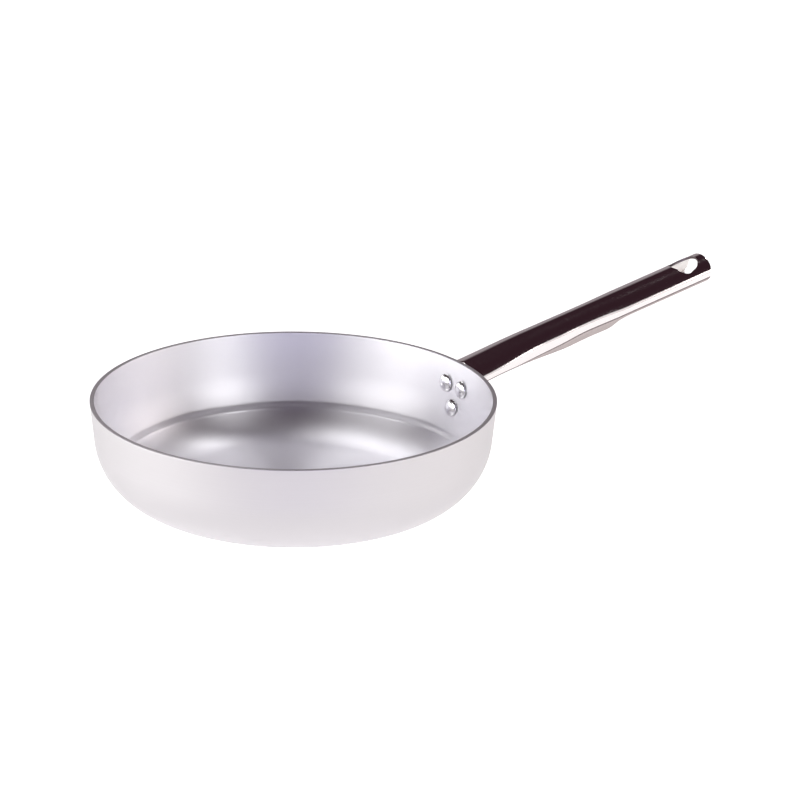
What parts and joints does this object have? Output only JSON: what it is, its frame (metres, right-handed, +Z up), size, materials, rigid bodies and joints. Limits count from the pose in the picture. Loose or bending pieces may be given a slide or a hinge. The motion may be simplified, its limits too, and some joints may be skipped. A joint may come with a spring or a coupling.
{
  "type": "saute pan",
  "caption": "Deep round aluminium saute pan with gently flared wall and large-radius base corner, and a long riveted pressed-steel handle with a hanging hole.",
  "frame": {"origin": "centre of the flat underside of the base, on the pan's axis", "axes": "+X along the handle in plan, +Z up out of the pan's mouth"},
  "size_m": [0.4938, 0.28, 0.113],
  "materials": {
    "pan_aluminium": "spun and turned, satin",
    "handle_steel": "mirror-polished outside, mill finish on the open lips",
    "rivet_metal": "polished"
  },
  "bodies": {
    "root": {"pan_body": "pan_aluminium", "handle": "handle_steel", "rivet_upper_left": "rivet_metal", "rivet_upper_right": "rivet_metal", "rivet_lower": "rivet_metal"}
  },
  "joints": []
}
